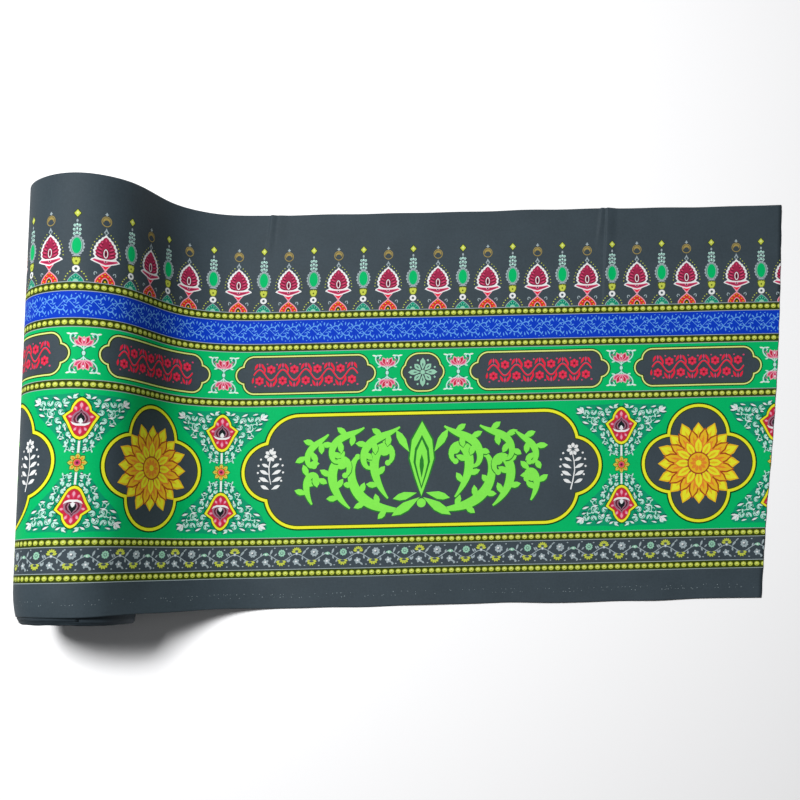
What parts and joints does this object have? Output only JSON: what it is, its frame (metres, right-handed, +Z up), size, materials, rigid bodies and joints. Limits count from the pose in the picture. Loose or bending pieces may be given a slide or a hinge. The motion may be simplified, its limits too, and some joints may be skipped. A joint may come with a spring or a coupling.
{
  "type": "roll of fabric banner",
  "caption": "Roll of printed banner cloth lying on its side, its loose end drawn off over the top and laid flat to a slanted cut.",
  "frame": {"origin": "under the middle of the whole, on the surface that the roll and the sheet lie on", "axes": "+X along the cloth from the roll to the cut end, +Y across its width from the near edge to the far edge, +Z up"},
  "size_m": [1.3247, 0.7131, 0.1972],
  "materials": {
    "banner_cloth": "thin plain-woven polyester, charcoal, matt, printed in green, blue, yellow, crimson and white"
  },
  "bodies": {
    "root": {"wound_roll": "banner_cloth", "loose_end": "banner_cloth"}
  },
  "joints": []
}
